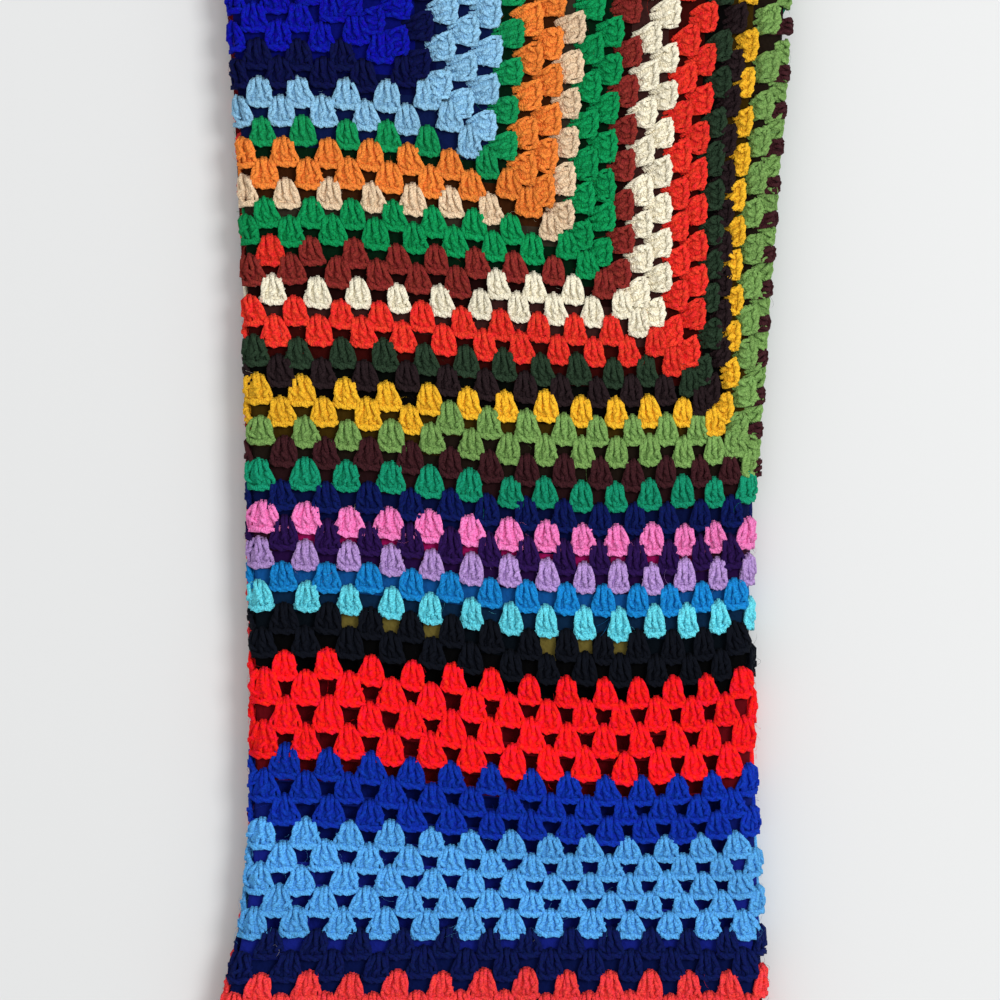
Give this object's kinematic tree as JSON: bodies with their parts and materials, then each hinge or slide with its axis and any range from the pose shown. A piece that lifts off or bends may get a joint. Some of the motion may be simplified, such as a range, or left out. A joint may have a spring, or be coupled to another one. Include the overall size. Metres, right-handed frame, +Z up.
{
  "type": "folded granny square blanket",
  "caption": "Crocheted granny square blanket in striped rounds, folded lengthwise into a long, flat, layered strip that lies on a surface.",
  "frame": {"origin": "middle of the strip's footprint, on the surface that it lies on", "axes": "+Z up through the layers; +Y along the strip; +X from the folded middle line of the square toward the second fold"},
  "size_m": [0.3126, 1.2594, 0.0225],
  "materials": {
    "crocheted_yarn": "matt spun yarn, crocheted in stripes of many colours; the one colour here is the border's"
  },
  "bodies": {
    "root": {"granny_square_blanket": "crocheted_yarn"}
  },
  "joints": []
}
